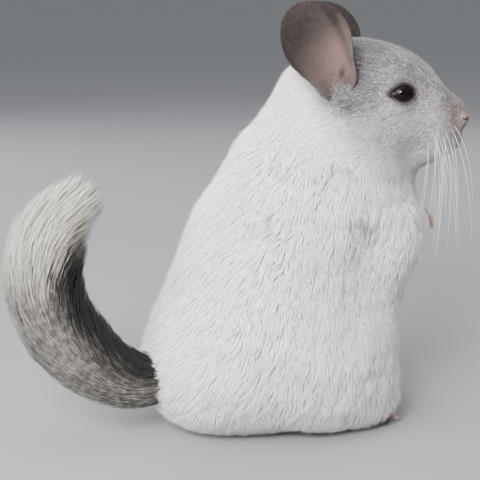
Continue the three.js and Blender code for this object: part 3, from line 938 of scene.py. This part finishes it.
def canal_shade_mask(points):
    """1 where the ear's opening is painted with shade, a dark slit low in the cup, in the ear's own
    frame.
    """
    right, rise = points[:, 0] - CANAL[0], points[:, 1] - CANAL[1]
    across = right * 0.86 - rise * 0.5
    along = right * 0.5 + rise * 0.86
    return np.exp(-((across / 1.3) ** 2) - (along / 3.3) ** 2)


def ear_piece(name, side):
    """The thin bare ear: dark at the top and rim, pink deep in the cup."""
    root, rise, cup = (np.array(v, float) for v in EARS[name])
    y = unit(rise)
    z = unit(cup - y * (cup @ y))
    x = np.cross(y, z) * -side
    points, quads, where = ear_shell()
    if side > 0:
        quads = quads[:, ::-1]
    placed = on_head(points @ np.stack([x, y, z]) + root)
    piece = mesh_piece("ear_" + name + "_skin", placed, quads)
    places = unwrapped(piece)
    up, across, outer = where.T
    inner = smooth(outer, -0.2, 0.2)
    rim = smooth(np.abs(across), 0.72, 0.98)
    fold = np.exp(-(((across - 0.66) / 0.13) ** 2)) * smooth(up, 0.16, 0.34)
    dark = smooth(up - 0.2 * across, 0.30, 0.86) * 0.85 + 0.5 * rim + 0.55 * fold
    dark = np.clip(dark + 0.45 * (1 - inner), 0, 1)
    low = 1 - smooth(up - 0.2 * across, 0.30, 0.66)
    pink = inner * low * (1 - 0.6 * rim) * (1 - 0.7 * fold)
    pink = pink * (0.62 + 0.25 * ripple(points, 18, 71))
    # Painted shade in the ear's opening, carried in the darkness of the marks.
    canal_shade = canal_shade_mask(points) * inner
    ticking = 0.1 + 0.9 * dark
    marks = np.stack([ticking, np.clip(pink, 0, 0.9), canal_shade * 0.9, np.ones_like(up)], 1)
    give_marks(piece, marks)
    finished(piece, ear_skin, "ear_skin", "ear_" + name)
    return placed, quads, places, marks, HEAD_AXES @ y


def ear_fur(name, placed, quads, places, skin_marks, rise, count, seed):
    """Fine short down over the ear, a little longer at its foot."""
    draw = np.random.default_rng(seed)
    root, normal, spots = scattered(placed, quads, places, count, lambda p: np.ones(len(p)), seed)
    bare = near(root, EAR_CANALS, 2.5, 5) > 0.5
    root, normal, spots = root[~bare], normal[~bare], spots[~bare]
    count = len(root)
    foot = near(root, EAR_ROOTS, 4, 13)
    lay = rise[None] + 0.3 * draw.normal(size=root.shape)
    lay = unit(lay - normal * np.sum(lay * normal, axis=1, keepdims=True))
    length = draw.uniform(1.0, 1.9, count) + 3.0 * foot
    height = length * draw.uniform(0.08, 0.2, count) * (1 + foot)
    width = np.full(count, 0.16) + 0.2 * foot
    spine = arched(root + normal * 0.3, normal, lay, length, height, draw.normal(0, 0.1, count), 3)
    nearest = np.concatenate(
        [
            np.argmin(np.sum((part[:, None] - placed[None]) ** 2, axis=2), axis=1)
            for part in np.array_split(root, 12)
        ]
    )

    def marks(points, along, rows, each):
        return np.repeat(skin_marks[nearest[rows]], each, axis=0)

    coat_pieces("ear_down_" + name, spine, normal, width, spots, marks, ear_down, "ear_skin", [0.9, 0.9])


EAR_CANALS = on_head([[-13, -33, 12], [-13, 28, 12]])

for name, side in SIDES.items():
    ear_fur(name, *ear_piece(name, side), EAR_TUFTS, 50 + side)


# Tail

# Where the tail leaves the rump, sweeps over the floor and turns up to its tip
TAIL_LINE = [
    [0, 44, 33],
    [0, 62, 28],
    [0, 83, 34],
    [1, 100, 48],
    [2, 112, 66],
    [3, 116, 87],
    [4, 109, 108],
    [4, 93, 123],
]
TAIL_CORE_END = 0.8


def tail_curve(count=400):
    """Points at even steps along a smooth curve through the tail's line."""
    line = np.array(TAIL_LINE, float)
    line = np.concatenate([[2 * line[0] - line[1]], line, [2 * line[-1] - line[-2]]])
    pieces = []
    for k in range(1, len(line) - 2):
        t = np.linspace(0, 1, 60, endpoint=False)[:, None]
        p0, p1, p2, p3 = line[k - 1 : k + 3]
        pieces.append(
            0.5 * (2 * p1 + (p2 - p0) * t + (2 * p0 - 5 * p1 + 4 * p2 - p3) * t**2
                   + (3 * p1 - p0 - 3 * p2 + p3) * t**3)
        )
    curve = np.concatenate(pieces + [line[-2:-1]])
    far = np.append(0, np.cumsum(np.linalg.norm(np.diff(curve, axis=0), axis=1)))
    even = np.linspace(0, far[-1], count)
    return np.stack([np.interp(even, far, curve[:, k]) for k in range(3)], 1), far[-1]


TAIL_CURVE, TAIL_LENGTH = tail_curve()
TAIL_WAYS = unit(np.gradient(TAIL_CURVE, axis=0))


def on_tail(t, angle):
    """Places along the tail, also past its end, with the way along and one way out."""
    on = np.clip(t, 0, 1) * (len(TAIL_CURVE) - 1)
    at = np.stack([np.interp(on, np.arange(len(TAIL_CURVE)), TAIL_CURVE[:, k]) for k in range(3)], -1)
    way = np.stack([np.interp(on, np.arange(len(TAIL_WAYS)), TAIL_WAYS[:, k]) for k in range(3)], -1)
    way = unit(way)
    at = at + way * ((t - np.clip(t, 0, 1)) * TAIL_LENGTH)[..., None]
    through = unit(np.cross(way, [1, 0, 0]))
    across = np.cross(through, way)
    out = across * np.cos(angle)[..., None] + through * np.sin(angle)[..., None]
    return at, way, out


def core_radius(t):
    """How thick the tail's flesh is at each share of its length."""
    return np.interp(t, [0, 0.5, TAIL_CORE_END, 1], [6, 7, 3.5, 1.5])


def bush_radius(t):
    """How far the tail's hair stands out at each share of its length, also past its end."""
    return blend(12, 19, smooth(t, 0.05, 0.5)) * (1 - 0.5 * smooth(t, 0.8, 1.12))


def tail_marks(t, angle, along):
    """Charcoal above, grey below and on the outside, cream towards the tip."""
    above = smooth(-np.sin(angle), -0.35, 0.45)
    cream = smooth(t - 0.14 * above, 0.52, 0.72)
    dark = above * (1 - cream) * 0.95
    ticking = (1 - cream) * 0.85
    return np.stack([ticking, 0 * t, dark, along], 1)


def tail_core():
    """The flesh of the tail, hidden deep in its hair."""
    t = np.linspace(0.02, 0.95, 60)
    at, _, _ = on_tail(t, np.zeros_like(t))
    points, faces = swept(at, core_radius(t), 20, (1, 0, 0))
    piece = mesh_piece("tail_flesh", points, faces)
    place = np.repeat(t, 20)
    angle = np.tile(np.arange(20) * 2 * math.pi / 20 + math.pi, 60)
    place, angle = np.append(place, [0.02, 0.95]), np.append(angle, [0, 0])
    # Along at 0.4 paints shade on the hidden flesh, as if deep in the hair.
    give_marks(piece, tail_marks(place, angle, np.full(len(points), 0.4)))
    finished(piece, tail_hair, "tail_dark", "tail_root", "tail_middle", "tail_tip")


def tail_coat(count, seed=77):
    """Long hair in fine tufts that run back along the tail and out to a soft brush."""
    draw = np.random.default_rng(seed)
    t = (np.arange(count) + draw.uniform(size=count)) / count
    t = 0.03 + (0.86 - 0.03) * t**0.85
    angle = draw.uniform(0, 2 * math.pi, count)
    reach = draw.uniform(24, 38, count) * blend(0.6, 1.0, smooth(t, 0, 0.25))
    reach *= 1 - 0.25 * smooth(t, 0.7, 0.86)
    drift = draw.normal(0, 0.16, count)
    inmost = blend(0.5, 1.0, smooth(t, 0.55, 0.84))
    fullness = 1 - inmost * draw.uniform(size=count) ** blend(1.8, 0.9, smooth(t, 0.55, 0.84))
    clump = ripple(np.stack([t * 160, np.cos(angle) * 14, np.sin(angle) * 14], 1), 16, 81)
    fullness = fullness * (1 + 0.07 * clump)
    inner = core_radius(np.minimum(t, TAIL_CORE_END)) * 0.8
    outer = bush_radius(t + reach / TAIL_LENGTH) * fullness
    stops = 5
    spine = np.zeros((count, stops, 3))
    for k, s in enumerate(np.linspace(0, 1, stops)):
        at, _, out = on_tail(t + s * reach / TAIL_LENGTH, angle + drift * s + 0.12 * clump * s)
        away = blend(inner, outer, math.sin(math.pi / 2 * s))
        spine[:, k] = at + out * away[:, None]
    _, _, normal = on_tail(t + 0.5 * reach / TAIL_LENGTH, angle)
    width = draw.uniform(0.7, 1.25, count)
    places = np.stack([t, angle / (2 * math.pi)], 1) * 0.96 + 0.02

    def marks(points, along, rows, each):
        end = np.repeat((t + 0.45 * reach / TAIL_LENGTH)[rows], each)
        return tail_marks(end, np.repeat(angle[rows], each), along)

    coat_pieces("tail_fur", spine, normal, width, places, marks, tail_hair, "tail_dark",
                [0.7, 1.0, 0.85, 0.5])


tail_core()
tail_coat(TAIL_TUFTS)


# Paws, claws and whiskers


def paw_piece(name, slot):
    """A bare paw with smooth fingers, from its solid."""
    points, quads = remeshed([node_surface(name)], 0.0, PAW_VOXEL)
    points = relaxed(points, quads, 3)
    points[:, 2] = np.maximum(points[:, 2], 0.02)
    piece = mesh_piece(name + "_skin", points, quads)
    shade = 0.25 + 0.3 * smooth(ripple(points, 8, 91), -0.3, 1)
    marks = np.stack([shade, 0.2 + 0 * shade, 0 * shade, 1 + 0 * shade], 1)
    give_marks(piece, marks)
    finished(piece, paw_skin, slot, name)


def claw(at, way, length):
    """One small curved nail."""
    s = np.linspace(0, 1, 6)[:, None]
    drop = np.array([0, 0, -1.0])
    path = at + way * length * s + drop * 0.35 * length * s**2
    return swept(path, 0.55 * (1 - 0.85 * s[:, 0] ** 1.5), 7, (1, 0, 0.02))


def claws():
    """Nails on the toes and fingers."""
    nails = []
    for side in SIDES.values():
        for toe in range(4):
            spread = toe - 1.5
            reach = 13.5 - abs(spread) * 1.2
            tip = np.array([side * 31 + spread * 4, -43 - reach - 0.6, 2.6])
            nails.append(claw(tip, np.array([0, -1, -0.15]), 1.8))
            finger = [side * 12.5 + spread * 2.3, -78 - 8.2, 103 - 8.1]
            nails.append(claw(np.array(finger), np.array([0, -0.5, -0.8]), 1.3))
    finished(mesh_piece("claws", *gathered(nails)), claw_horn, "paw_skin")


WHISKER_REACH = 8.0


def whiskers(seed=13):
    """Long stiff whiskers that sweep down from the muzzle and stay close to the solids' box."""
    draw = np.random.default_rng(seed)
    low = np.array(cad_box[0]) / MM - WHISKER_REACH
    strands = []
    for side in SIDES.values():
        for row in range(4):
            for column in range(6):
                root = np.array([41 - column * 2.0, side * (8.0 + column * 0.7), -9 - row * 2.4])
                root = root + draw.normal(0, 0.4, 3)
                length = draw.uniform(30, 52)
                sweep = draw.uniform(-0.1, 0.35)
                way = unit(np.array([0.42 - sweep, side * 0.5, -0.45 - 0.22 * row]))
                bend = np.array([-0.2, side * -0.1, -0.6]) * draw.uniform(0.5, 1.0)
                s = np.linspace(0, 1, 12)[:, None]
                path = on_head(root + (way * s + bend * s**2) * length)
                while (path.min(0)[:2] < low[:2]).any():
                    length *= 0.9
                    path = on_head(root + (way * s + bend * s**2) * length)
                strands.append(swept(path, 0.13 * (1 - 0.85 * s[:, 0]), 4, (0.1, 0.2, 1)))
    finished(mesh_piece("whiskers", *gathered(strands)), whisker_white, "face_coat")


def nostril_shade():
    """Painted shade in each nostril's opening: a dark comma-shaped slit on each side of the nose, laid
    on the skin.
    """
    slits = []
    for side in SIDES.values():
        s = np.linspace(0, 1, 9)[:, None]
        comma = np.concatenate([-3.2 * s, side * (2.4 + 2.2 * s), 1.0 - 2.6 * s + 1.6 * s * s], 1)
        path = laid_on_skin(on_head(comma + [NOSE - 0.4, 0, -7.2]), 0.0)
        radii = 0.2 + 0.45 * np.sin(math.pi * s[:, 0] ** 0.7)
        slits.append(swept(path, radii, 7, HEAD_AXES[:, 2]))
    # The dark lid skin serves here as painted shade.
    finished(mesh_piece("nostril_shade", *gathered(slits)), lid_skin_and_nostril_shade, "face_coat")


for side in SIDES:
    paw_piece("forefoot_" + side, "paw_skin")
    paw_piece("hind_foot_" + side, "paw_skin")
claws()
whiskers()
nostril_shade()


# Floor and light


FLOOR_GREY = (0.305, 0.315, 0.33, 1)


def soft_sky(strength):
    """An even sky that falls to the floor's own grey at the horizon."""
    world = bpy.data.worlds.new("studio")
    world.use_nodes = True
    tree = world.node_tree
    where = tree.nodes.new("ShaderNodeTexCoord")
    parted = tree.nodes.new("ShaderNodeSeparateXYZ")
    tree.links.new(where.outputs["Generated"], parted.inputs[0])
    rise = reckoned(tree, "MULTIPLY", parted.outputs[2], 2.4, True)
    colour = mixed(tree, rise, (0.30, 0.312, 0.33, 1), (0.97, 0.98, 1.0, 1))
    sky = tree.nodes["Background"]
    tree.links.new(colour, sky.inputs["Color"])
    sky.inputs["Strength"].default_value = strength
    bpy.context.scene.world = world


def studio():
    """A pale floor, a small key light beside the camera and broad soft lights around."""
    bpy.ops.mesh.primitive_plane_add(size=40)
    floor = bpy.context.active_object
    floor.name = "floor"
    material, tree, shader = material_of("pale_floor", 0.9)
    shader.inputs["Specular IOR Level"].default_value = 0.0
    fine = noise(tree, 60, 2.0)
    paler = tuple(0.97 * c for c in FLOOR_GREY[:3]) + (1,)
    tree.links.new(mixed(tree, fine, FLOOR_GREY, paler), shader.inputs["Base Color"])
    floor.data.materials.append(material)
    soft_sky(0.64)
    for name, at, size, power, tint in (
        ("key", (-0.58, 0.46, 0.50), 0.26, 10.5, (1, 0.985, 0.965)),
        ("side", (-0.45, 1.0, 0.60), 1.1, 26, (1, 0.99, 0.98)),
        ("top", (-0.25, 0.15, 1.3), 1.1, 4, (1, 0.99, 0.98)),
        ("front", (0.45, -1.1, 0.55), 0.9, 7, (1, 0.99, 0.975)),
        ("left", (1.1, 0.5, 0.55), 0.9, 14, (0.97, 0.98, 1)),
    ):
        data = bpy.data.lights.new(name, "AREA")
        data.shape = "DISK"
        data.size = size
        data.energy = power
        data.color = tint
        lamp = bpy.data.objects.new(name, data)
        back = unit(np.array(at) - [0, 0, 0.1])
        side = unit(np.cross([0, 0, 1], back))
        lamp.matrix_world = matrix_of(side, np.cross(back, side), back, at)
        bpy.context.scene.collection.objects.link(lamp)


studio()
